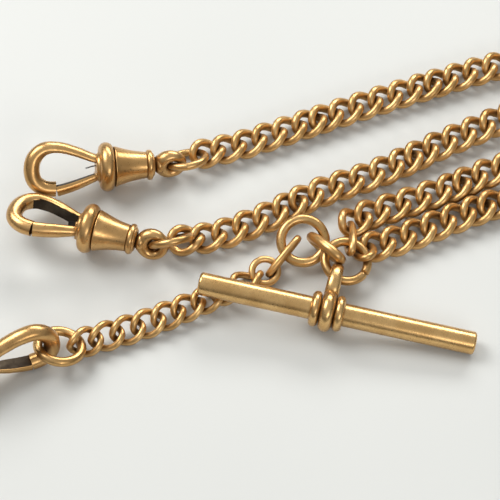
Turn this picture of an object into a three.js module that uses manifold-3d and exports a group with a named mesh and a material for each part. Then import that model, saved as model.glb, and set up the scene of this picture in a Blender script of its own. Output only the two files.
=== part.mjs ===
// A gold double Albert pocket watch chain, laid out on a table: a T-bar on a split ring, two arms of curb
// links that end in swivel dog clips, and a short drop chain with a third clip. Millimetres, +Z up.
import * as THREE from "three";
import { mergeVertices } from "three/addons/utils/BufferGeometryUtils.js";
import Module from "manifold-3d";

const wasm = await Module();
wasm.setup();

const DEG = Math.PI / 180;
const UP = new THREE.Vector3(0, 0, 1);
const WELD = 1e-4; // points closer than this are one point

// ---------------------------------------------------------------- driving dimensions

// The layout's own centre, so that the box of the whole chain is centred on the frame's origin.
const LAYOUT_CENTRE = [7.85, 4.68, 0.02];

// Curb links of the arms: the centre line's half length and half width, the wire and the spacing.
const ARM_LINK = { wire: 1.2, halfLength: 2.05, halfWidth: 1.75, twist: -50 };
const NEAR_ARM_RUNS = [6, 6, 7, 5, 6, 6, 6];
const FAR_ARM_RUNS = [6, 7, 7, 7, 6, 6, 6];
const PITCH_IN_RUN = 2.92;
const PITCH_BETWEEN_RUNS = 2.45;

// Curb links of the drop chain, each a piece of its own.
const DROP_LINK = { wire: 0.95, halfLength: 2.05, halfWidth: 1.6, twist: -50 };
const DROP_LINK_COUNT = 9;

const ARM_LINK_STEPS = 8;
const DROP_LINK_STEPS = 10;
const ARM_LINK_SIDES = 4;
const DROP_LINK_SIDES = 5;
const JOINT_BEAD = 0.62; // radius of the bead that holds two neighbouring links of one run together
const RING_STEPS = 15;
const RING_SIDES = 6;
const LINK_STEPS = 16; // steps around a plain link
const CURVE_DIVISIONS = 600; // steps by which a route's length is measured

// T-bar: the rod, the wide middle band with its loop, and a bead on each side of the band.
const TBAR = {
  centre: [9.9, -11.1, 2.95],
  leftEnd: [-6.5, -7.7, 4.25],
  leftLength: 16.9,
  rightLength: 19.4,
  radius: 1.5,
  bandRadius: 2.7,
  bandHalf: 0.85,
  beadRadius: 2.3,
  beadHalf: 0.5,
  beadAt: 1.56,
  bevel: 0.5,
  hole: 1.68,
  boreHalf: 2,
};
const SHANK = { tip: [12.9, -4.6, 2.3], halfWidth: 1.45, wire: 1.2, sunk: 0.7 };

const GOLD = { color: 0xc8924a, metalness: 1, roughness: 0.32 };
const DARK_GOLD = { color: 0x8a5e2c, metalness: 1, roughness: 0.45 };
const STEEL = { color: 0x8c8a86, metalness: 1, roughness: 0.4 };

// Swivel dog clip, along its own X from the hook's nose (-X) to the swivel eye (+X); the gate is on -Y.
const CLIP = {
  wireAcross: 0.95, // half width of the hook's wire along the clip's Z
  wireDeep: 0.9, // half thickness of the hook's wire in the hook's plane
  plugRadius: 1.65,
  plugFrom: -2.3,
  plugTo: 0.95,
  collarRadius: 2.62, // centre line of the collar's round bead
  collarBead: 0.78,
  bellFrom: 1.05,
  bellTo: 6.5,
  boreRadius: 1.3,
  boreTo: 5.2,
  neckRadius: 0.72,
  pivot: [-1.45, -0.95],
  pinRadius: 0.28,
  pinHole: 0.4,
  pinHalf: 1.35,
  slotHalf: 0.65,
  cutHalf: 3, // half length of a hole's tool, longer than the clip is thick
  springHalf: 0.45,
  headRadius: 1.1, // the swivel eye's headed stem, inside the bell
  headFrom: 4.1,
  headTo: 4.95,
  stemRadius: 0.5,
  stemFrom: 4.5,
  gateTip: -6.75,
  noseFace: -7.35,
  eyeCentre: 8.75,
  eyeRadius: 1.45,
  eyeWire: 0.6,
};

// ---------------------------------------------------------------- helpers

const root = new THREE.Group();
const layout = new THREE.Group();
layout.position.set(...LAYOUT_CENTRE).negate();
root.add(layout);

function vec(point) {
  return new THREE.Vector3(...point);
}

function addPiece(parent, name, geometry, look = GOLD) {
  const mesh = new THREE.Mesh(geometry, new THREE.MeshStandardMaterial(look));
  mesh.name = name;
  parent.add(mesh);
  return mesh;
}

// Turns and places an object so that its X runs along xAxis and its Z lies as near zAxis as it can.
function place(object, position, xAxis, zAxis = UP) {
  const x = xAxis.clone().normalize();
  const y = zAxis.clone().cross(x).normalize();
  const z = x.clone().cross(y);
  object.quaternion.setFromRotationMatrix(new THREE.Matrix4().makeBasis(x, y, z));
  object.position.copy(position);
  return object;
}

function solidOf(geometry) {
  const bare = geometry.clone();
  bare.deleteAttribute("normal");
  bare.deleteAttribute("uv");
  const merged = mergeVertices(bare, WELD);
  const vertProperties = merged.attributes.position.array;
  const triVerts = new Uint32Array(merged.index.array);
  return new wasm.Manifold(new wasm.Mesh({ numProp: 3, vertProperties, triVerts }));
}

function geometryOf(solid) {
  const { numProp, numVert, vertProperties, triVerts } = solid.getMesh();
  const points = new Float32Array(numVert * 3);
  for (let i = 0; i < numVert; i++) {
    points.set(vertProperties.subarray(i * numProp, i * numProp + 3), i * 3);
  }
  const geometry = new THREE.BufferGeometry();
  geometry.setAttribute("position", new THREE.BufferAttribute(points, 3));
  geometry.setIndex(new THREE.BufferAttribute(triVerts, 1));
  geometry.computeVertexNormals();
  return geometry;
}

function join(geometries) {
  const whole = geometries.map(solidOf).reduce((all, solid) => all.add(solid));
  return geometryOf(whole);
}

function cut(geometry, tools) {
  const left = tools.map(solidOf).reduce((solid, tool) => solid.subtract(tool), solidOf(geometry));
  return geometryOf(left);
}

// A closed curve of wire: an ellipse whose two ends are turned opposite ways about its length, as a curb
// link's are.
class LinkCurve extends THREE.Curve {
  constructor(halfLength, halfWidth, twist = 0) {
    super();
    this.halfLength = halfLength;
    this.halfWidth = halfWidth;
    this.twist = twist * DEG;
  }

  getPoint(t, target = new THREE.Vector3()) {
    const angle = 2 * Math.PI * t;
    const across = this.halfWidth * Math.sin(angle);
    const turn = this.twist * Math.cos(angle);
    const along = this.halfLength * Math.cos(angle);
    return target.set(along, across * Math.cos(turn), across * Math.sin(turn));
  }
}

function curbLink({ wire, halfLength, halfWidth, twist }, steps, sides) {
  const curve = new LinkCurve(halfLength, halfWidth, twist);
  return new THREE.TubeGeometry(curve, steps, wire / 2, sides, true);
}

function plainLink(halfLength, halfWidth, wire) {
  const curve = new LinkCurve(halfLength, halfWidth);
  return new THREE.TubeGeometry(curve, LINK_STEPS, wire / 2, RING_SIDES, true);
}

// A lathe turned about X instead of Y. The profile is a list of [x, radius].
function turned(profile, segments = 16) {
  const points = profile.map(([x, radius]) => new THREE.Vector2(radius, x));
  return new THREE.LatheGeometry(points, segments).rotateZ(-Math.PI / 2);
}

function rod(radius, from, to, segments = 12) {
  return turned([[from, 0], [from, radius], [to, radius], [to, 0]], segments);
}

function block(x0, x1, y0, y1, z0, z1) {
  return new THREE.BoxGeometry(x1 - x0, y1 - y0, z1 - z0)
    .translate((x0 + x1) / 2, (y0 + y1) / 2, (z0 + z1) / 2);
}

// A bar of oval section along a curve: halfAcross is square to the curve's plane, halfDeep lies in it.
function ovalBar(points, halfAcross, halfDeep, steps) {
  const path = new THREE.CatmullRomCurve3(points.map(vec), false, "centripetal");
  const section = new THREE.Shape().absellipse(0, 0, halfAcross, halfDeep, 0, 2 * Math.PI);
  return new THREE.ExtrudeGeometry(section, {
    steps,
    extrudePath: path,
    bevelEnabled: false,
    curveSegments: 4,
  });
}

// ---------------------------------------------------------------- swivel dog clip

function hookBody() {
  const limb = ovalBar(
    [
      [-1.2, 0.85, 0],
      [-3.4, 1.75, 0],
      [-6.3, 2.75, 0],
      [-8.8, 2.65, 0],
      [-10.1, 1.0, 0],
      [-9.9, -1.2, 0],
      [-8.6, -2.45, 0],
      [CLIP.noseFace, -2.75, 0],
    ],
    CLIP.wireAcross,
    CLIP.wireDeep,
    13,
  );
  const plug = rod(CLIP.plugRadius, CLIP.plugFrom, CLIP.plugTo, 12);
  const slot = block(-3, -0.55, -3, 0.35, -CLIP.slotHalf, CLIP.slotHalf);
  return cut(join([limb, plug]), [slot, pinAcross(CLIP.pinHole, CLIP.cutHalf)]);
}

// A round pin or hole along the clip's Z at the gate's pivot.
function pinAcross(radius, half) {
  return rod(radius, -half, half, 8)
    .rotateY(-Math.PI / 2)
    .translate(CLIP.pivot[0], CLIP.pivot[1], 0);
}

function gate() {
  const bar = ovalBar([[-2.65, -1.5, 0], [-4.8, -2.15, 0], [CLIP.gateTip, -2.75, 0]], 0.85, 0.75, 4);
  const lug = ovalBar([[-3.4, -1.65, 0], [-0.95, -0.9, 0]], 0.5, 0.55, 1);
  return cut(join([bar, lug]), [pinAcross(CLIP.pinHole, CLIP.cutHalf)]);
}

function gateSpring() {
  const outline = new THREE.Shape();
  outline.moveTo(-0.75, 0.2);
  outline.quadraticCurveTo(-1.8, 0.2, -2.9, -0.15);
  outline.lineTo(-2.9, 0);
  outline.quadraticCurveTo(-1.8, 0.32, -0.75, 0.32);
  const depth = 2 * CLIP.springHalf;
  return new THREE.ExtrudeGeometry(outline, { depth, bevelEnabled: false, curveSegments: 4 })
    .translate(0, 0, -CLIP.springHalf);
}

function collar() {
  return new THREE.TorusGeometry(CLIP.collarRadius, CLIP.collarBead, 6, 14).rotateY(Math.PI / 2);
}

function bell() {
  return turned(
    [
      [CLIP.bellFrom, CLIP.boreRadius],
      [CLIP.bellFrom, 2.8],
      [2.4, 2.25],
      [4.9, 1.75],
      [5.5, 2.0],
      [CLIP.bellTo, 1.85],
      [CLIP.bellTo, CLIP.neckRadius],
      [CLIP.boreTo, CLIP.neckRadius],
      [CLIP.boreTo, CLIP.boreRadius],
      [CLIP.bellFrom, CLIP.boreRadius],
    ],
    12,
  );
}

function swivelEye() {
  const head = rod(CLIP.headRadius, CLIP.headFrom, CLIP.headTo, 10);
  const stem = rod(CLIP.stemRadius, CLIP.stemFrom, CLIP.eyeCentre - CLIP.eyeRadius, 8);
  const eye = new THREE.TorusGeometry(CLIP.eyeRadius, CLIP.eyeWire, RING_SIDES, 12)
    .translate(CLIP.eyeCentre, 0, 0);
  return join([head, stem, eye]);
}

// Places one clip: the collar's centre, the way from the nose to the eye, the roll of the hook about its
// length and the roll of the swivel eye.
function dogClip(prefix, collarAt, towardsEye, hookRoll, eyeRoll) {
  const clip = place(new THREE.Group(), vec(collarAt), vec(towardsEye));
  layout.add(clip);
  const rolled = new THREE.Group();
  rolled.rotation.x = hookRoll * DEG;
  clip.add(rolled);
  addPiece(rolled, `${prefix}_hook_body`, hookBody());
  addPiece(rolled, `${prefix}_gate`, gate());
  addPiece(rolled, `${prefix}_gate_pin`, pinAcross(CLIP.pinRadius, CLIP.pinHalf), DARK_GOLD);
  addPiece(rolled, `${prefix}_gate_spring`, gateSpring(), STEEL);
  addPiece(rolled, `${prefix}_collar`, collar());
  addPiece(rolled, `${prefix}_bell`, bell());
  const eye = addPiece(clip, `${prefix}_swivel_eye`, swivelEye());
  eye.rotation.x = eyeRoll * DEG;
}

// ---------------------------------------------------------------- T-bar

function ringBand(hole, radius, half) {
  return turned(
    [
      [-half, hole],
      [-half, radius - TBAR.bevel],
      [-half / 2, radius],
      [half / 2, radius],
      [half, radius - TBAR.bevel],
      [half, hole],
      [-half, hole],
    ],
    15,
  );
}

// The rod's ends are domed, each with a small flat at its middle.
function tBarRod() {
  const { leftLength, rightLength, radius } = TBAR;
  return turned([
    [-leftLength, 0],
    [-leftLength, 0.9],
    [0.35 - leftLength, 1.35],
    [0.9 - leftLength, radius],
    [rightLength - 0.9, radius],
    [rightLength - 0.35, 1.35],
    [rightLength, 0.9],
    [rightLength, 0],
  ]);
}

// The middle band with the long loop that stands on it and leans to the split ring. tip is the loop's end,
// in the bar's own frame.
function tBarShank(tip) {
  const height = tip.length();
  const length = height - TBAR.bandRadius + SHANK.sunk;
  const middle = tip.clone().multiplyScalar(1 - length / 2 / height);
  const holder = place(new THREE.Object3D(), middle, tip, new THREE.Vector3(1, 0, 0));
  holder.updateMatrix();
  const loop = plainLink(length / 2, SHANK.halfWidth, SHANK.wire).applyMatrix4(holder.matrix);
  const band = ringBand(TBAR.hole, TBAR.bandRadius, TBAR.bandHalf);
  return cut(join([band, loop]), [rod(TBAR.hole, -TBAR.boreHalf, TBAR.boreHalf, 15)]);
}

function tBar() {
  const centre = vec(TBAR.centre);
  const bar = place(new THREE.Group(), centre, centre.clone().sub(vec(TBAR.leftEnd)));
  layout.add(bar);
  addPiece(bar, "t_bar_rod", tBarRod());
  for (const [name, side] of [["left", -1], ["right", 1]]) {
    const bead = ringBand(TBAR.hole, TBAR.beadRadius, TBAR.beadHalf);
    addPiece(bar, `t_bar_bead_${name}`, bead).position.x = side * TBAR.beadAt;
  }
  const intoBar = bar.quaternion.clone().invert();
  addPiece(bar, "t_bar_shank", tBarShank(vec(SHANK.tip).sub(centre).applyQuaternion(intoBar)));
}

// ---------------------------------------------------------------- chains

// Walks a curve by arc length: spot(distance) gives the point and the direction there.
function walker(points) {
  const curve = new THREE.CatmullRomCurve3(points.map(vec), false, "centripetal");
  curve.arcLengthDivisions = CURVE_DIVISIONS;
  const length = curve.getLength();
  const spot = (distance) => {
    const share = Math.min(Math.max(distance / length, 0), 1);
    return { point: curve.getPointAt(share), direction: curve.getTangentAt(share) };
  };
  return { spot, length };
}

function sum(values) {
  return values.reduce((total, value) => total + value, 0);
}

function armRuns(prefix, points, linksPerRun) {
  const { spot, length } = walker(points);
  const natural = sum(linksPerRun.map((count) => (count - 1) * PITCH_IN_RUN))
    + (linksPerRun.length - 1) * PITCH_BETWEEN_RUNS;
  const stretch = length / natural;
  let distance = 0;
  linksPerRun.forEach((count, run) => {
    const links = [];
    for (let i = 0; i < count; i++) {
      const { point, direction } = spot(distance);
      const holder = place(new THREE.Object3D(), point, direction);
      holder.updateMatrix();
      links.push(curbLink(ARM_LINK, ARM_LINK_STEPS, ARM_LINK_SIDES).applyMatrix4(holder.matrix));
      const pitch = stretch * (i < count - 1 ? PITCH_IN_RUN : PITCH_BETWEEN_RUNS);
      if (i < count - 1) {
        const between = spot(distance + pitch / 2).point;
        links.push(new THREE.OctahedronGeometry(JOINT_BEAD).translate(between.x, between.y, between.z));
      }
      distance += pitch;
    }
    addPiece(layout, `${prefix}_run_${run + 1}`, join(links));
  });
}

// The drop's curb links roll a little from one to the next, so that the last stands up in the end ring.
function dropLinks(points, firstUp, lastUp) {
  const { spot, length } = walker(points);
  for (let i = 0; i < DROP_LINK_COUNT; i++) {
    const { point, direction } = spot((i * length) / (DROP_LINK_COUNT - 1));
    const shape = curbLink(DROP_LINK, DROP_LINK_STEPS, DROP_LINK_SIDES);
    const link = addPiece(layout, `drop_curb_link_${i + 1}`, shape);
    place(link, point, direction, vec(firstUp).lerp(vec(lastUp), i / (DROP_LINK_COUNT - 1)));
  }
}

// Routes of the three chains, from the centre outwards: [x, y, z] of the links' centres.
const NEAR_ARM = [
  [13.94, 3.25, 2.1], [15.9, 4.65, 1.5], [19.5, 6, 1.4], [26.4, 8.7, 1.4], [34.1, 12.2, 1.4],
  [43, 14.7, 1.4], [50.2, 16.3, 1.4], [54.6, 20.3, 1.4], [53.8, 26, 1.4], [48, 28.2, 1.4],
  [41.2, 24.2, 1.4], [34, 20.1, 1.4], [26.2, 16.2, 1.4], [17.4, 11.5, 1.4], [8.8, 8, 1.4],
  [2, 4.2, 1.4], [-4.7, 1.3, 1.4], [-8.5, 0.7, 1.45],
];
const FAR_ARM = [
  [16.88, -0.29, 1.6], [19.6, 0.7, 1.4], [28.2, 4.5, 1.4], [33.7, 6.7, 1.4], [44, 9.3, 1.4],
  [52.5, 11.5, 1.4], [59.5, 16.5, 1.4], [61, 24, 1.4], [57, 31, 1.4], [48, 33.2, 1.4],
  [36, 30.2, 1.4], [25, 26.4, 1.4], [13.2, 21.9, 1.4], [5.5, 18.8, 1.4], [-1.4, 16.1, 1.4],
  [-5.8, 14.8, 1.5],
];
const DROP = [
  [-0.41, -5.6, 1.35], [-3.2, -7.2, 1.3], [-8.4, -9.7, 1.3], [-14.2, -12.4, 1.4], [-21.1, -15, 1.8],
];

// ---------------------------------------------------------------- the object

// Rings: the centre line's radius, the wire, the centre and the way the ring's face looks.
const RINGS = {
  split_ring: { radius: 2.75, wire: 1.15, centre: [12.6, -3.5, 2.85], facing: [0.1, -0.15, 1] },
  drop_top_ring: { radius: 2.85, wire: 1.25, centre: [7, -0.2, 2.65], facing: [0, -0.4, 0.9] },
  near_jump_ring: { radius: 2.6, wire: 0.95, centre: [-10.4, -0.3, 2.8], facing: [-0.2, 0.8, 0.6] },
  far_jump_ring: { radius: 2.5, wire: 0.95, centre: [-8.6, 13.3, 2], facing: [-0.15, 0.55, 0.85] },
  drop_end_ring: { radius: 2.75, wire: 1.2, centre: [-24.2, -16, 2.5], facing: [0.2, 0.3, 0.95] },
  drop_jump_ring: { radius: 2.4, wire: 0.95, centre: [-45, -23.6, 2.8], facing: [-0.15, -0.45, 0.85] },
};

// Plain links between rings and chains: the way the link's length runs and the way its face looks.
const LINKS = {
  thick_connecting_link: {
    halfLength: 3.3, halfWidth: 1.8, wire: 1.35,
    centre: [10, -1.5, 2.85], along: [1, -1.5, 1], facing: [1, 1, 0.5],
  },
  near_arm_connecting_link: {
    halfLength: 3.6, halfWidth: 1.25, wire: 0.95,
    centre: [13.25, 0.2, 2.6], along: [0, 0.85, -0.5], facing: [-1, 0.2, 0.2],
  },
  far_arm_connecting_link: {
    halfLength: 2.65, halfWidth: 1.25, wire: 0.95,
    centre: [15.1, -1.65, 2.25], along: [-0.05, 0.75, -0.65], facing: [-0.3, 0.6, 0.7],
  },
  drop_oval_link: {
    halfLength: 3.1, halfWidth: 1.25, wire: 0.95,
    centre: [4.4, -2.2, 1.95], along: [-0.65, -0.75, -0.3], facing: [0.75, -0.55, -0.25],
  },
  drop_round_link: {
    halfLength: 1.8, halfWidth: 1.7, wire: 0.9,
    centre: [1.95, -4.2, 1.45], along: [0.9, 0.45, 0], facing: [0.15, -0.3, 0.95],
  },
};

for (const [name, { radius, wire, centre, facing }] of Object.entries(RINGS)) {
  const ring = addPiece(layout, name, new THREE.TorusGeometry(radius, wire / 2, RING_SIDES, RING_STEPS));
  ring.quaternion.setFromUnitVectors(UP, vec(facing).normalize());
  ring.position.copy(vec(centre));
}
for (const [name, { halfLength, halfWidth, wire, centre, along, facing }] of Object.entries(LINKS)) {
  const link = addPiece(layout, name, plainLink(halfLength, halfWidth, wire));
  place(link, vec(centre), vec(along), vec(facing));
}
tBar();
armRuns("near_arm", NEAR_ARM, NEAR_ARM_RUNS);
armRuns("far_arm", FAR_ARM, FAR_ARM_RUNS);
dropLinks(DROP, [-0.32, 0.25, 0.91], [0.34, -0.61, 0.72]);
dogClip("near_clip", [-21.2, 1.2, 3.45], [0.968, -0.24, -0.07], -17, 60);
dogClip("far_clip", [-19.3, 11.1, 3.45], [0.983, 0.142, -0.12], 42, 80);
dogClip("drop_clip", [-34.6, -19.6, 3.7], [-0.93, -0.36, 0], 100, 60);

export default root;
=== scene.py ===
"""Looks of a gold double Albert watch chain, built over its CAD frame.

Shapes are worked out in millimetres and stored in metres, in the frame of the CAD.
"""
import math

import bmesh
import bpy
import numpy as np
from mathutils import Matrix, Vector


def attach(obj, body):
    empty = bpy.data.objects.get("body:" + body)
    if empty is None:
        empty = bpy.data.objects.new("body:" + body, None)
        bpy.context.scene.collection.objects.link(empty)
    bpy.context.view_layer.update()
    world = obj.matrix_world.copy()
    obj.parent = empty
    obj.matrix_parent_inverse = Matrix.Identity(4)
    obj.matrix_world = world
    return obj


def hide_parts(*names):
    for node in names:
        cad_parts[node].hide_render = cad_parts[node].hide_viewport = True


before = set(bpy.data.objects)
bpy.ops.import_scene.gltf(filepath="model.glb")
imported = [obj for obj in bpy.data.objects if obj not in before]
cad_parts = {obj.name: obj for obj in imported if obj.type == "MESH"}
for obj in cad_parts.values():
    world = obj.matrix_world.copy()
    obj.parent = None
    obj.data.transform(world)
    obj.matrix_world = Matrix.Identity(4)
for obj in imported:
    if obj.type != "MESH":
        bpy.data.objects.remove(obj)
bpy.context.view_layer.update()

MM = 0.001
UP = np.array([0.0, 0.0, 1.0])

# The layout's own centre: routes and the camera are given from the layout's own zero, like the CAD's.
LAYOUT_CENTRE = np.array([7.85, 4.68, 0.02])

# Arms: curb links in runs, one run to a CAD body; a little wider and flatter than the CAD's.
ARM_LINK = {"wire": 1.16, "half_length": 2.1, "half_width": 1.78, "twist": -43}
NEAR_ARM_RUNS = [6, 6, 7, 5, 6, 6, 6]
FAR_ARM_RUNS = [6, 7, 7, 7, 6, 6, 6]
PITCH_IN_RUN = 2.92
PITCH_BETWEEN_RUNS = 2.45

# Drop chain: curb links that are a body each.
DROP_LINK = {"wire": 0.95, "half_length": 2.05, "half_width": 1.6, "twist": -49}
DROP_LINK_COUNT = 9

# Routes of the arms, from the centre outwards: the links' centres.
NEAR_ARM = [
    [13.94, 3.25, 2.1], [15.9, 4.65, 1.5], [19.5, 6, 1.4], [26.4, 8.7, 1.4], [34.1, 12.2, 1.4],
    [43, 14.7, 1.4], [50.2, 16.3, 1.4], [54.6, 20.3, 1.4], [53.8, 26, 1.4], [48, 28.2, 1.4],
    [41.2, 24.2, 1.4], [34, 20.1, 1.4], [26.2, 16.2, 1.4], [17.4, 11.5, 1.4], [8.8, 8, 1.4],
    [2, 4.2, 1.4], [-4.7, 1.3, 1.4], [-8.5, 0.7, 1.45],
]
FAR_ARM = [
    [16.88, -0.29, 1.6], [19.6, 0.7, 1.4], [28.2, 4.5, 1.4], [33.7, 6.7, 1.4], [44, 9.3, 1.4],
    [52.5, 11.5, 1.4], [59.5, 16.5, 1.4], [61, 24, 1.4], [57, 31, 1.4], [48, 33.2, 1.4],
    [36, 30.2, 1.4], [25, 26.4, 1.4], [13.2, 21.9, 1.4], [5.5, 18.8, 1.4], [-1.4, 16.1, 1.4],
    [-5.8, 14.8, 1.5],
]

# Rings and plain links: the wire of each, a little fuller than the CAD's many-sided wire.
RING_WIRES = {
    "split_ring": 1.2,
    "drop_top_ring": 1.3,
    "near_jump_ring": 1.05,
    "far_jump_ring": 1.05,
    "drop_end_ring": 1.25,
    "drop_jump_ring": 1.05,
}
PLAIN_LINK_WIRES = {
    "thick_connecting_link": 1.38,
    "near_arm_connecting_link": 0.97,
    "far_arm_connecting_link": 0.97,
    "drop_oval_link": 0.97,
    "drop_round_link": 0.92,
}

CLIPS = ("near_clip", "far_clip", "drop_clip")

# Dog clip, along its own X from the nose (-X) to the swivel eye (+X); the gate is on -Y.
HOOK_PATH = [
    [-0.9, 0.75], [-2.2, 1.2], [-4.2, 2.05], [-6.4, 2.72], [-8.4, 2.7], [-9.75, 1.6], [-10.15, -0.1],
    [-9.75, -1.6], [-8.5, -2.5], [-7.05, -2.68],
]
GATE_PATH = [[-6.95, -2.68], [-5.6, -2.4], [-4.2, -2.0], [-2.4, -1.4], [-1.1, -0.95]]
EYE_CENTRE = 8.75
EYE_RADIUS = 1.45

# T-bar, along its own X.
BAR_RADIUS = 1.5
BAND_RADIUS = 2.7
BEAD_RADIUS = 2.35
BEAD_AT = 1.56

# The floor lies this far down, under the fuller wires of the looks.
FLOOR_DROP = 0.12

CAMERA_DISTANCE = 230.0
CAMERA_ELEVATION = math.radians(58)
CAMERA_LENS = 124.2
CAMERA_SENSOR = 36

FLOOR_HALF_METRES = 2.0
SKY_STRENGTH = 0.58


# ------------------------------------------------------------------ vectors and frames

def unit(vector):
    vector = np.asarray(vector, float)
    return vector / np.linalg.norm(vector)


def basis(x_axis, z_axis=UP):
    """Columns x, y, z: x along x_axis, z as near z_axis as it can lie."""
    x = unit(x_axis)
    y = unit(np.cross(z_axis, x))
    return np.stack([x, y, np.cross(x, y)], axis=1)


def corners(node):
    """The CAD node's vertices in millimetres, each once."""
    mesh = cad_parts[node].data
    points = np.empty(len(mesh.vertices) * 3)
    mesh.vertices.foreach_get("co", points)
    return np.unique(np.round(points.reshape(-1, 3) / MM, 3), axis=0)


def principal(points):
    """Centre of the points and their three axes, longest first, as columns."""
    centre = points.mean(axis=0)
    spread, axes = np.linalg.eigh(np.cov((points - centre).T))
    return centre, axes[:, np.argsort(spread)[::-1]]


def curve_through(points):
    """A centripetal Catmull-Rom curve through the points, sampled finely by arc length."""
    points = np.array([list(p) + [0.0] * (3 - len(p)) for p in points], float)
    padded = np.vstack([2 * points[0] - points[1], points, 2 * points[-1] - points[-2]])
    fine = []
    for i in range(len(points) - 1):
        p0, p1, p2, p3 = padded[i:i + 4]
        d0, d1, d2 = (math.sqrt(np.linalg.norm(b - a)) for a, b in ((p0, p1), (p1, p2), (p2, p3)))
        m1 = ((p1 - p0) / d0 - (p2 - p0) / (d0 + d1) + (p2 - p1) / d1) * d1
        m2 = ((p2 - p1) / d1 - (p3 - p1) / (d1 + d2) + (p3 - p2) / d2) * d1
        for t in np.linspace(0, 1, 40, endpoint=False):
            fine.append(
                (2 * t**3 - 3 * t**2 + 1) * p1 + (t**3 - 2 * t**2 + t) * m1
                + (3 * t**2 - 2 * t**3) * p2 + (t**3 - t**2) * m2
            )
    fine.append(points[-1])
    fine = np.array(fine)
    steps = np.concatenate([[0], np.cumsum(np.linalg.norm(np.diff(fine, axis=0), axis=1))])
    return fine, steps


def at(curve, distance):
    """Point and direction at a distance along a curve."""
    fine, steps = curve
    distance = min(max(distance, 0.0), steps[-1])
    point = np.array([np.interp(distance, steps, fine[:, k]) for k in range(3)])
    ahead = np.array([np.interp(min(distance + 0.05, steps[-1]), steps, fine[:, k]) for k in range(3)])
    behind = np.array([np.interp(max(distance - 0.05, 0.0), steps, fine[:, k]) for k in range(3)])
    return point, unit(ahead - behind)


def resample(points, count):
    curve = curve_through(points)
    return np.array([at(curve, d)[0] for d in np.linspace(0, curve[1][-1], count)])


# ------------------------------------------------------------------ materials

def node_of(tree, kind, **settings):
    node = tree.nodes.new(kind)
    for key, value in settings.items():
        setattr(node, key, value)
    return node


def ramp_of(tree, stops):
    node = tree.nodes.new("ShaderNodeValToRGB")
    elements = node.color_ramp.elements
    while len(elements) < len(stops):
        elements.new(0.5)
    for element, (position, value) in zip(elements, stops):
        element.position = position
        element.color = value if len(value) == 4 else (*value, 1)
    return node


def grey(value):
    return (value, value, value, 1)


# Worn metal: the brown painted shade where surfaces meet, how far out it reaches, and its share at the
# deepest.
CREVICE_SHADE = (0.11, 0.055, 0.022)
CREVICE_SHADE_REACH = 0.9
CREVICE_SHADE_SHARE = 0.85
CREVICE_SHADE_ROUGHNESS = 0.3

# The finer a noise, the larger its scale.
PATCH_SCALE = 420
DENT_SCALE = 900
SPOT_SCALE = 1500
WEAR_SCALE = 2600
DENT_DEPTH = 0.06


def metal(name, light, deep, rough, bump=0.25):
    """Worn metal: two tones in soft patches, brown painted shade where surfaces meet, and fine dents."""
    material = bpy.data.materials.new(name)
    material.use_nodes = True
    tree = material.node_tree
    shader = tree.nodes["Principled BSDF"]
    shader.inputs["Metallic"].default_value = 1.0
    place = node_of(tree, "ShaderNodeTexCoord")

    patches = node_of(tree, "ShaderNodeTexNoise")
    patches.inputs["Scale"].default_value = PATCH_SCALE
    patches.inputs["Detail"].default_value = 4
    tree.links.new(place.outputs["Object"], patches.inputs["Vector"])
    tones = ramp_of(tree, [(0.36, deep), (0.62, light)])
    tree.links.new(patches.outputs["Fac"], tones.inputs["Fac"])

    # Painted shade: ambient occlusion turns the colour brown where surfaces meet, standing in for the shade
    # that falls there; noise spots break it up, and the same mask also adds roughness.
    crevice = node_of(tree, "ShaderNodeAmbientOcclusion", samples=8)
    crevice.inputs["Distance"].default_value = CREVICE_SHADE_REACH * MM
    depth = ramp_of(tree, [(0.28, grey(CREVICE_SHADE_SHARE)), (0.8, grey(0.0))])
    tree.links.new(crevice.outputs["AO"], depth.inputs["Fac"])
    spots = node_of(tree, "ShaderNodeTexNoise")
    spots.inputs["Scale"].default_value = SPOT_SCALE
    spots.inputs["Detail"].default_value = 5
    tree.links.new(place.outputs["Object"], spots.inputs["Vector"])
    spread = ramp_of(tree, [(0.3, grey(0.75)), (0.6, grey(1.0))])
    tree.links.new(spots.outputs["Fac"], spread.inputs["Fac"])
    painted_shade = node_of(tree, "ShaderNodeMath", operation="MULTIPLY")
    tree.links.new(depth.outputs["Color"], painted_shade.inputs[0])
    tree.links.new(spread.outputs["Color"], painted_shade.inputs[1])
    colour = node_of(tree, "ShaderNodeMix", data_type="RGBA")
    colour.inputs["B"].default_value = (*CREVICE_SHADE, 1)
    tree.links.new(painted_shade.outputs[0], colour.inputs["Factor"])
    tree.links.new(tones.outputs["Color"], colour.inputs["A"])
    tree.links.new(colour.outputs["Result"], shader.inputs["Base Color"])

    wear = node_of(tree, "ShaderNodeTexNoise")
    wear.inputs["Scale"].default_value = WEAR_SCALE
    wear.inputs["Detail"].default_value = 6
    wear.inputs["Roughness"].default_value = 0.65
    tree.links.new(place.outputs["Object"], wear.inputs["Vector"])
    polish = ramp_of(tree, [(0.3, grey(rough[0])), (0.7, grey(rough[1]))])
    tree.links.new(wear.outputs["Fac"], polish.inputs["Fac"])
    rougher = node_of(tree, "ShaderNodeMath", operation="MULTIPLY_ADD")
    rougher.inputs[1].default_value = CREVICE_SHADE_ROUGHNESS
    tree.links.new(painted_shade.outputs[0], rougher.inputs[0])
    tree.links.new(polish.outputs["Color"], rougher.inputs[2])
    tree.links.new(rougher.outputs[0], shader.inputs["Roughness"])

    dents = node_of(tree, "ShaderNodeTexNoise")
    dents.inputs["Scale"].default_value = DENT_SCALE
    dents.inputs["Detail"].default_value = 5
    tree.links.new(place.outputs["Object"], dents.inputs["Vector"])
    relief = node_of(tree, "ShaderNodeBump")
    relief.inputs["Strength"].default_value = bump
    relief.inputs["Distance"].default_value = DENT_DEPTH * MM
    tree.links.new(dents.outputs["Fac"], relief.inputs["Height"])
    tree.links.new(relief.outputs["Normal"], shader.inputs["Normal"])
    return material


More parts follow.
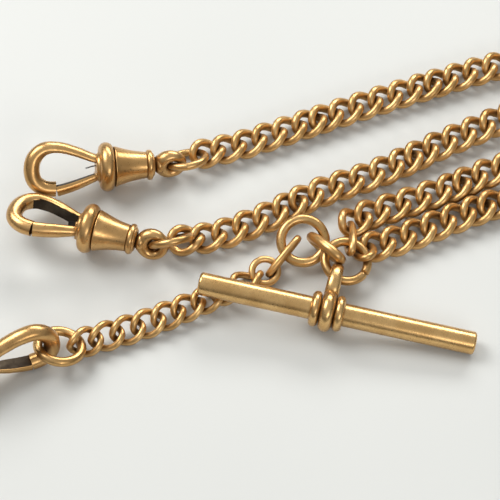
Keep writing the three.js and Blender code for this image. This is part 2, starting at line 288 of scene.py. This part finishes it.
CHAIN_GOLD = metal("chain_gold", (0.75, 0.475, 0.2), (0.58, 0.345, 0.13), rough=(0.28, 0.44))
RING_GOLD = metal("ring_gold", (0.67, 0.42, 0.175), (0.52, 0.31, 0.115), rough=(0.24, 0.4))
BAR_GOLD = metal("bar_gold", (0.73, 0.47, 0.2), (0.62, 0.38, 0.15), rough=(0.24, 0.34), bump=0.05)
CLIP_GOLD = metal("clip_gold", (0.68, 0.42, 0.175), (0.54, 0.315, 0.12), rough=(0.24, 0.4))
# Painted shade: the flat faces of hook and gate are coloured near black to stand in for the shade and dark
# reflection they show.
SHADED_FLAT_FACE = metal("painted_shade_face", (0.09, 0.07, 0.05), (0.04, 0.03, 0.022), rough=(0.5, 0.7))
STEEL = metal("spring_steel", (0.13, 0.125, 0.12), (0.07, 0.065, 0.06), rough=(0.5, 0.65))


# ------------------------------------------------------------------ mesh building

def piece(name, points, faces, materials, body, nodes=(), face_material=None, sharp=50):
    """A mesh piece given in millimetres, riding on a CAD body and standing for its nodes."""
    mesh = bpy.data.meshes.new(name)
    mesh.from_pydata([tuple(p) for p in np.asarray(points) * MM], [], faces)
    for material in materials:
        mesh.materials.append(material)
    mesh.polygons.foreach_set("use_smooth", [True] * len(mesh.polygons))
    if face_material is not None:
        mesh.polygons.foreach_set("material_index", face_material)
    built = bmesh.new()
    built.from_mesh(mesh)
    bmesh.ops.recalc_face_normals(built, faces=built.faces)
    built.to_mesh(mesh)
    built.free()
    mesh.set_sharp_from_angle(angle=math.radians(sharp))
    thing = bpy.data.objects.new(name, mesh)
    bpy.context.scene.collection.objects.link(thing)
    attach(thing, body)
    if nodes:
        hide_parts(*nodes)
    return thing


def grid_faces(rows, columns, closed_rows):
    """Quads of a tube: columns go round each section, rows go along it."""
    faces = []
    for i in range(rows if closed_rows else rows - 1):
        for j in range(columns):
            a, b = i * columns, ((i + 1) % rows) * columns
            k = (j + 1) % columns
            faces.append((a + j, a + k, b + k, b + j))
    return faces


def closed_tube(path, outward, half_out, half_side, sides=16):
    """A wire closed on itself; outward is each section's direction away from the middle."""
    along = np.roll(path, -1, axis=0) - np.roll(path, 1, axis=0)
    along /= np.linalg.norm(along, axis=1, keepdims=True)
    out = outward - (outward * along).sum(axis=1, keepdims=True) * along
    out /= np.linalg.norm(out, axis=1, keepdims=True)
    side = np.cross(along, out)
    turn = np.linspace(0, 2 * np.pi, sides, endpoint=False)
    half_out = np.broadcast_to(half_out, len(path))[:, None, None]
    half_side = np.broadcast_to(half_side, len(path))[:, None, None]
    points = (
        path[:, None] + out[:, None] * half_out * np.cos(turn)[None, :, None]
        + side[:, None] * half_side * np.sin(turn)[None, :, None]
    )
    return points.reshape(-1, 3), grid_faces(len(path), sides, True)


def link_path(half_length, half_width, twist=0.0, count=56):
    """The centre line of a link, turned opposite ways at its two ends by twist degrees."""
    angle = np.linspace(0, 2 * np.pi, count, endpoint=False)
    across = half_width * np.sin(angle)
    turn = math.radians(twist) * np.cos(angle)
    return np.stack([half_length * np.cos(angle), across * np.cos(turn), across * np.sin(turn)], axis=1)


def bar_along(path, half_deep, half_wide, flat, sides=24):
    """A bar whose path lies in its own XY plane.

    flat (0 to 1) planes off the side that faces the hook's inside. Returns points, faces and which faces
    lie on the flat."""
    path = np.asarray(path, float)
    along = np.gradient(path, axis=0)
    along /= np.linalg.norm(along, axis=1, keepdims=True)
    inner = np.cross(UP, along)
    inside = np.array([path[:, 0].mean(), 0.0, 0.0]) - path
    facing = np.sign((inner * inside).sum(axis=1).sum())
    inner = inner * facing
    turn = np.linspace(0, 2 * np.pi, sides, endpoint=False)
    sizes = [np.broadcast_to(size, len(path)) for size in (half_deep, half_wide, flat)]
    rows = list(zip(path, inner, *sizes))
    points = []
    for centre, inward, deep, wide, planed in rows:
        reach = np.minimum(np.cos(turn), 1 - 0.85 * planed)
        points += list(centre + inward * (deep * reach)[:, None] + UP * (wide * np.sin(turn))[:, None])
    faces = grid_faces(len(rows), sides, False)
    on_flat = []
    for i in range(len(rows) - 1):
        for j in range(sides):
            middle = math.cos(2 * math.pi * (j + 0.5) / sides)
            on_flat.append(1 if rows[i][4] > 0.3 and middle > 1 - 0.85 * rows[i][4] + 0.02 else 0)
    faces += [tuple(range(sides)), tuple(range((len(rows) - 1) * sides, len(rows) * sides))]
    on_flat += [0, 0]
    return np.array(points), faces, on_flat


def lathe(profile, segments=64):
    """A solid turned about X from a closed list of [x, radius]; points on the axis become one."""
    points, rings = [], []
    for x, radius in profile:
        if radius < 1e-6:
            rings.append([len(points)] * segments)
            points.append((x, 0.0, 0.0))
            continue
        rings.append(list(range(len(points), len(points) + segments)))
        for k in range(segments):
            angle = 2 * math.pi * k / segments
            points.append((x, radius * math.cos(angle), radius * math.sin(angle)))
    faces = []
    closed = profile[0][1] > 1e-6
    pairs = list(zip(rings, rings[1:] + rings[:1])) if closed else list(zip(rings, rings[1:]))
    for a, b in pairs:
        for k in range(segments):
            n = (k + 1) % segments
            corner = [a[k], a[n], b[n], b[k]]
            face = [v for i, v in enumerate(corner) if v != corner[i - 1]]
            if len(face) > 2:
                faces.append(tuple(face))
    return np.array(points), faces


def arc(centre_x, centre_r, radius_x, radius_r, start, end, count=12):
    """Points of an elliptical arc in a lathe profile, in degrees."""
    turns = np.radians(np.linspace(start, end, count))
    return [[centre_x + radius_x * math.cos(t), centre_r + radius_r * math.sin(t)] for t in turns]


def put(points, origin, axes):
    return np.asarray(points) @ axes.T + origin


# ------------------------------------------------------------------ links and rings

# A wire's unevenness, how flat a curb link's broad sides are filed, and how much fuller its ends are.
WIRE_WOBBLE = 0.02
FILED_SHARE = 0.94
FULLER_SHARE = 0.05

# The split ring's slit, a groove: its angle round the ring and half width in radians, and its depth's share.
SLIT_ANGLE = 1.5
SLIT_SPREAD = 0.035
SLIT_SHARE = 0.45

# Each family of wires has its own seeds, counted on from these.
DROP_LINK_SEED = 100
RING_SEED = 200
PLAIN_LINK_SEED = 300


def wobble(count, seed, share=WIRE_WOBBLE):
    """A smooth closed unevenness round a wire, as hand-made links have."""
    maker = np.random.default_rng(seed)
    angle = np.linspace(0, 2 * np.pi, count, endpoint=False)
    total = np.zeros(count)
    for k in (2, 3, 5):
        total += maker.uniform(-1, 1) * np.cos(k * angle + maker.uniform(0, 6.28)) / k
    return 1 + share * total


def curb_link(name, size, origin, axes, body, nodes, seed):
    path = link_path(size["half_length"], size["half_width"], size["twist"])
    half = size["wire"] / 2 * wobble(len(path), seed)
    # The broad sides are filed a little flat, and the wire is fullest at the link's ends.
    fuller = 1 + FULLER_SHARE * np.cos(np.linspace(0, 4 * np.pi, len(path), endpoint=False))
    points, faces = closed_tube(path, path, half * FILED_SHARE, half * fuller)
    return piece(name, put(points, origin, axes), faces, [CHAIN_GOLD], body, nodes)


def arm_links(prefix, route, runs):
    curve = curve_through(np.array(route) - LAYOUT_CENTRE)
    natural = sum((count - 1) * PITCH_IN_RUN for count in runs) + (len(runs) - 1) * PITCH_BETWEEN_RUNS
    stretch = curve[1][-1] / natural
    distance = 0.0
    number = 0
    for run, count in enumerate(runs, start=1):
        body = f"{prefix}_run_{run}"
        for k in range(count):
            number += 1
            point, direction = at(curve, distance)
            name = f"{prefix}_link_{number:02d}"
            curb_link(name, ARM_LINK, point, basis(direction), body, [body], number)
            distance += stretch * (PITCH_IN_RUN if k < count - 1 else PITCH_BETWEEN_RUNS)


def drop_links():
    for k in range(1, DROP_LINK_COUNT + 1):
        node = f"drop_curb_link_{k}"
        centre, axes = principal(corners(node))
        axes = basis(axes[:, 0], axes[:, 2])
        curb_link(f"drop_link_{k}", DROP_LINK, centre, axes, node, [node], DROP_LINK_SEED + k)


def round_or_oval(node, wire, seed, slit=False, material=RING_GOLD):
    """A ring or plain link on its CAD node: size and place are the node's own."""
    points = corners(node)
    centre, axes = principal(points)
    local = (points - centre) @ axes
    reach = (local.max(axis=0) - local.min(axis=0)) / 2
    cad_half_wire = reach[2]
    path = link_path(reach[0] - cad_half_wire, reach[1] - cad_half_wire, count=96)
    half = wire / 2 * wobble(len(path), seed)
    if slit:
        angle = np.linspace(0, 2 * np.pi, len(path), endpoint=False)
        half = half * (1 - SLIT_SHARE * np.exp(-(((angle - SLIT_ANGLE) / SLIT_SPREAD) ** 2)))
    tube, faces = closed_tube(path, path, half, half)
    piece(f"{node}_wire", put(tube, centre, axes), faces, [material], node, [node])


# ------------------------------------------------------------------ dog clips

def clip_axes(prefix):
    """The clip's own frame: origin at the collar's centre, X to the eye, Z along the gate's pin."""
    origin = corners(f"{prefix}_collar").mean(axis=0)
    x = unit(corners(f"{prefix}_bell").mean(axis=0) - origin)
    pin = principal(corners(f"{prefix}_gate_pin"))[1][:, 0]
    axes = basis(x, pin)
    gate_side = (corners(f"{prefix}_gate").mean(axis=0) - origin) @ axes[:, 1]
    return origin, axes if gate_side < 0 else basis(x, -pin)


def hook(prefix, origin, axes):
    body = f"{prefix}_hook"
    path = resample(HOOK_PATH, 44)
    way = np.linspace(0, 1, len(path))
    deep = np.interp(way, [0, 0.15, 0.45, 0.7, 1], [0.8, 0.9, 1.0, 1.08, 1.05])
    wide = np.interp(way, [0, 0.15, 0.45, 0.7, 1], [1.0, 1.05, 1.1, 1.1, 1.05])
    flat = np.interp(way, [0, 0.1, 0.4, 0.58, 1], [0.75, 0.75, 0.6, 0.0, 0.0])
    # The faces on the flat get the near-black painted shade.
    points, faces, dark = bar_along(path, deep, wide, flat)
    piece(f"{prefix}_hook_wire", put(points, origin, axes), faces, [CLIP_GOLD, SHADED_FLAT_FACE], body,
          [f"{prefix}_hook_body"], dark)
    plug = [[-1.55, 0]] + arc(-0.9, 1.55, 0.65, 0.45, 180, 90, 8) + [[0.9, 2.0], [0.9, 0]]
    points, faces = lathe(plug, 48)
    piece(f"{prefix}_hook_root", put(points, origin, axes), faces, [CLIP_GOLD], body,
          [f"{prefix}_hook_body"])


def gate(prefix, origin, axes):
    path = resample(GATE_PATH, 20)
    way = np.linspace(0, 1, len(path))
    deep = np.interp(way, [0, 0.5, 1], [1.02, 0.9, 0.7])
    wide = np.interp(way, [0, 0.5, 1], [1.04, 0.98, 0.62])
    # The faces on the flat get the near-black painted shade.
    points, faces, dark = bar_along(path, deep, wide, 0.7)
    piece(f"{prefix}_gate_bar", put(points, origin, axes), faces, [CLIP_GOLD, SHADED_FLAT_FACE],
          f"{prefix}_gate", [f"{prefix}_gate"], dark)


def spring(prefix, origin, axes):
    """The root of the blade that closes the gate, a thin dark strip between gate and hook root."""
    path = resample([[-0.8, 0.26], [-1.8, 0.2], [-2.9, -0.06]], 14)
    points, faces, _ = bar_along(path, 0.06, 0.45, 0.0, sides=12)
    piece(f"{prefix}_blade_spring", put(points, origin, axes), faces, [STEEL], f"{prefix}_hook",
          [f"{prefix}_gate_spring"])


def pin(prefix, origin, axes):
    profile = [[-1.42, 0], [-1.42, 0.22], [-1.36, 0.28], [1.36, 0.28], [1.42, 0.22], [1.42, 0]]
    points, faces = lathe(profile, 24)
    across = basis(axes[:, 2], axes[:, 0])
    centre = origin + axes @ np.array([-1.45, -0.95, 0])
    piece(f"{prefix}_pivot_pin", put(points, centre, across), faces, [CLIP_GOLD], f"{prefix}_hook",
          [f"{prefix}_gate_pin"])


def collar(prefix, origin, axes):
    profile = [[-0.8, 1.9]] + arc(-0.08, 2.35, 1.0, 0.98, 205, -25, 26) + [[0.7, 1.9]]
    points, faces = lathe(profile)
    piece(f"{prefix}_collar_bead", put(points, origin, axes), faces, [CLIP_GOLD], f"{prefix}_hook",
          [f"{prefix}_collar"])


def bell(prefix, origin, axes):
    profile = (
        [[0.95, 2.2]] + arc(1.1, 2.66, 0.13, 0.1, 150, 40, 5)
        + [[1.5, 2.62], [2.2, 2.4], [3.0, 2.17], [3.9, 1.98], [4.8, 1.84], [5.25, 1.8]]
        + [[5.3, 1.72], [5.36, 1.8]] + arc(5.75, 1.84, 0.36, 0.22, 180, 0, 11) + [[6.14, 1.66]]
        + arc(6.12, 1.2, 0.3, 0.46, 90, 0, 6) + [[6.42, 0.75], [5.2, 0.75], [5.2, 1.3], [0.95, 1.3]]
    )
    points, faces = lathe(profile)
    piece(f"{prefix}_bell_body", put(points, origin, axes), faces, [CLIP_GOLD], f"{prefix}_hook",
          [f"{prefix}_bell"])


def swivel(prefix, origin, axes):
    """The eye on its stem: a thick rounded loop, fullest where it meets the bell."""
    body = f"{prefix}_eye"
    node = f"{prefix}_swivel_eye"
    local = (corners(node) - origin) @ axes
    loop = local[local[:, 0] > EYE_CENTRE - 0.9]
    _, spread = principal(loop)
    normal = axes @ spread[:, 2]
    eye_axes = basis(axes[:, 0], normal)
    path = link_path(EYE_RADIUS, EYE_RADIUS, count=72)
    near_stem = (1 - np.cos(np.linspace(0, 2 * np.pi, len(path), endpoint=False))) / 2
    half = 0.66 + 0.34 * near_stem**1.5
    tube, faces = closed_tube(path, path, half * 0.95, half * 1.1, 20)
    centre = origin + axes[:, 0] * EYE_CENTRE
    piece(f"{prefix}_eye_loop", put(tube, centre, eye_axes), faces, [CLIP_GOLD], body, [node])
    # A headed stem inside the bell, and the ball that the eye is drilled through.
    stem = [[4.1, 0], [4.1, 1.1], [4.9, 1.1], [4.95, 0.55], [6.4, 0.55]]
    stem += arc(7.08, 0, 0.78, 1.32, 142, 20, 12) + [[7.85, 0]]
    points, faces = lathe(stem, 32)
    piece(f"{prefix}_eye_stem", put(points, origin, axes), faces, [CLIP_GOLD], body, [node])


def dog_clip(prefix):
    origin, axes = clip_axes(prefix)
    for part in (hook, gate, spring, pin, collar, bell, swivel):
        part(prefix, origin, axes)


# ------------------------------------------------------------------ T-bar

def bar_frame():
    left = corners("t_bar_bead_left").mean(axis=0)
    right = corners("t_bar_bead_right").mean(axis=0)
    return (left + right) / 2, basis(right - left)


def bead_profile(radius, half, hole):
    return [[-half, hole]] + arc(0, radius - half * 1.05, half, half * 1.05, 180, 0, 17) + [[half, hole]]


def t_bar():
    centre, axes = bar_frame()
    local = (corners("t_bar_rod") - centre) @ axes
    left, right = local[:, 0].min(), local[:, 0].max()
    edge = 0.38
    inner = BAR_RADIUS - edge
    profile = (
        [[left, 0], [left, inner - 0.1]] + arc(left + edge, inner, edge, edge, 170, 90, 6)
        + arc(right - edge, inner, edge, edge, 90, 10, 6) + [[right, inner - 0.1], [right, 0]]
    )
    points, faces = lathe(profile)
    piece("t_bar_round_rod", put(points, centre, axes), faces, [BAR_GOLD], "t_bar",
          ["t_bar_rod"])
    for side, sign in (("left", -1), ("right", 1)):
        points, faces = lathe(bead_profile(BEAD_RADIUS, 0.62, BAR_RADIUS))
        place = centre + axes[:, 0] * sign * BEAD_AT
        piece(f"t_bar_{side}_bead", put(points, place, axes), faces, [BAR_GOLD], "t_bar",
              [f"t_bar_bead_{side}"])
    points, faces = lathe(bead_profile(BAND_RADIUS, 0.9, BAR_RADIUS + 0.03))
    piece("t_bar_middle_band", put(points, centre, axes), faces, [BAR_GOLD], "t_bar_shank",
          ["t_bar_shank"])
    shank(centre, axes)


def shank(centre, axes):
    """The thick loop from the middle band to the split ring, standing square to the bar."""
    local = (corners("t_bar_shank") - centre) @ axes
    far = local[np.linalg.norm(local[:, 1:], axis=1) > 5.5]
    way = unit(axes @ np.array([0.0, *far.mean(axis=0)[1:]]) + axes[:, 0] * far.mean(axis=0)[0] / 7.0)
    reach = ((corners("t_bar_shank") - centre) @ way).max()
    length = reach - BAND_RADIUS + 0.7
    loop_axes = basis(way, axes[:, 0])
    path = link_path(length / 2 - 0.6, 1.45, count=72)
    # The loop's wire is flattened, and thickest towards the bar.
    thick = np.interp(path[:, 0], [-length / 2, 0, length / 2], [0.85, 0.75, 0.62])
    tube, faces = closed_tube(path, path, thick * 0.8, thick * 1.15, 20)
    middle = centre + way * (reach - length / 2)
    piece("t_bar_shank_loop", put(tube, middle, loop_axes), faces, [BAR_GOLD], "t_bar_shank",
          ["t_bar_shank"])


# ------------------------------------------------------------------ stage, light and camera

def camera():
    target = -LAYOUT_CENTRE.copy()
    target[2] = 0
    back = np.array([0, -math.cos(CAMERA_ELEVATION), math.sin(CAMERA_ELEVATION)]) * CAMERA_DISTANCE
    data = bpy.data.cameras.new("camera")
    data.lens = CAMERA_LENS
    data.sensor_width = CAMERA_SENSOR
    data.clip_start = 0.01
    thing = bpy.data.objects.new("camera", data)
    bpy.context.scene.collection.objects.link(thing)
    thing.location = Vector((target + back) * MM)
    thing.rotation_euler = Vector(-back).to_track_quat("-Z", "Y").to_euler()
    bpy.context.scene.camera = thing


def area_light(name, place, size, power, colour, aim=(0, 0, 0)):
    data = bpy.data.lights.new(name, "AREA")
    data.shape = "RECTANGLE"
    data.size, data.size_y = (v * MM for v in size)
    data.energy = power
    data.color = colour
    thing = bpy.data.objects.new(name, data)
    bpy.context.scene.collection.objects.link(thing)
    thing.location = Vector(place) * MM
    thing.rotation_euler = (Vector(aim) * MM - thing.location).to_track_quat("-Z", "Y").to_euler()


def floor():
    material = bpy.data.materials.new("paper")
    material.use_nodes = True
    tree = material.node_tree
    shader = tree.nodes["Principled BSDF"]
    shader.inputs["Roughness"].default_value = 0.75
    place = node_of(tree, "ShaderNodeTexCoord")
    mottle = node_of(tree, "ShaderNodeTexNoise")
    mottle.inputs["Scale"].default_value = 14
    tree.links.new(place.outputs["Object"], mottle.inputs["Vector"])
    tone = ramp_of(tree, [(0.3, (0.64, 0.655, 0.64)), (0.7, (0.665, 0.68, 0.665))])
    tree.links.new(mottle.outputs["Fac"], tone.inputs["Fac"])
    tree.links.new(tone.outputs["Color"], shader.inputs["Base Color"])
    mesh = bpy.data.meshes.new("floor")
    half = FLOOR_HALF_METRES
    low = -FLOOR_DROP * MM
    square = [(-half, -half, low), (half, -half, low), (half, half, low), (-half, half, low)]
    mesh.from_pydata(square, [], [(0, 1, 2, 3)])
    mesh.materials.append(material)
    thing = bpy.data.objects.new("floor", mesh)
    bpy.context.scene.collection.objects.link(thing)


def light():
    world = bpy.data.worlds.new("studio")
    bpy.context.scene.world = world
    world.use_nodes = True
    tree = world.node_tree
    background = tree.nodes["Background"]
    place = node_of(tree, "ShaderNodeTexCoord")
    parts = node_of(tree, "ShaderNodeSeparateXYZ")
    tree.links.new(place.outputs["Generated"], parts.inputs[0])
    sky = ramp_of(tree, [(0.0, (0.16, 0.15, 0.14)), (0.35, (0.42, 0.41, 0.4)), (0.8, (0.95, 0.95, 0.94))])
    tree.links.new(parts.outputs["Z"], sky.inputs["Fac"])
    tree.links.new(sky.outputs["Color"], background.inputs["Color"])
    background.inputs["Strength"].default_value = SKY_STRENGTH
    area_light("softbox_left", (-320, 180, 420), (300, 300), 1.9, (1.0, 0.985, 0.96))
    area_light("softbox_back", (120, 420, 300), (420, 160), 1.75, (1.0, 0.99, 0.97))
    area_light("softbox_front", (160, -380, 260), (240, 120), 0.4, (1.0, 0.97, 0.93))


# ------------------------------------------------------------------ the whole

camera()
floor()
light()
arm_links("near_arm", NEAR_ARM, NEAR_ARM_RUNS)
arm_links("far_arm", FAR_ARM, FAR_ARM_RUNS)
drop_links()
for number, (ring, wire) in enumerate(RING_WIRES.items()):
    round_or_oval(ring, wire, RING_SEED + number, slit=ring == "split_ring")
for number, (link, wire) in enumerate(PLAIN_LINK_WIRES.items()):
    round_or_oval(link, wire, PLAIN_LINK_SEED + number, material=CHAIN_GOLD)
for clip in CLIPS:
    dog_clip(clip)
t_bar()
bpy.context.scene.view_settings.view_transform = "Standard"
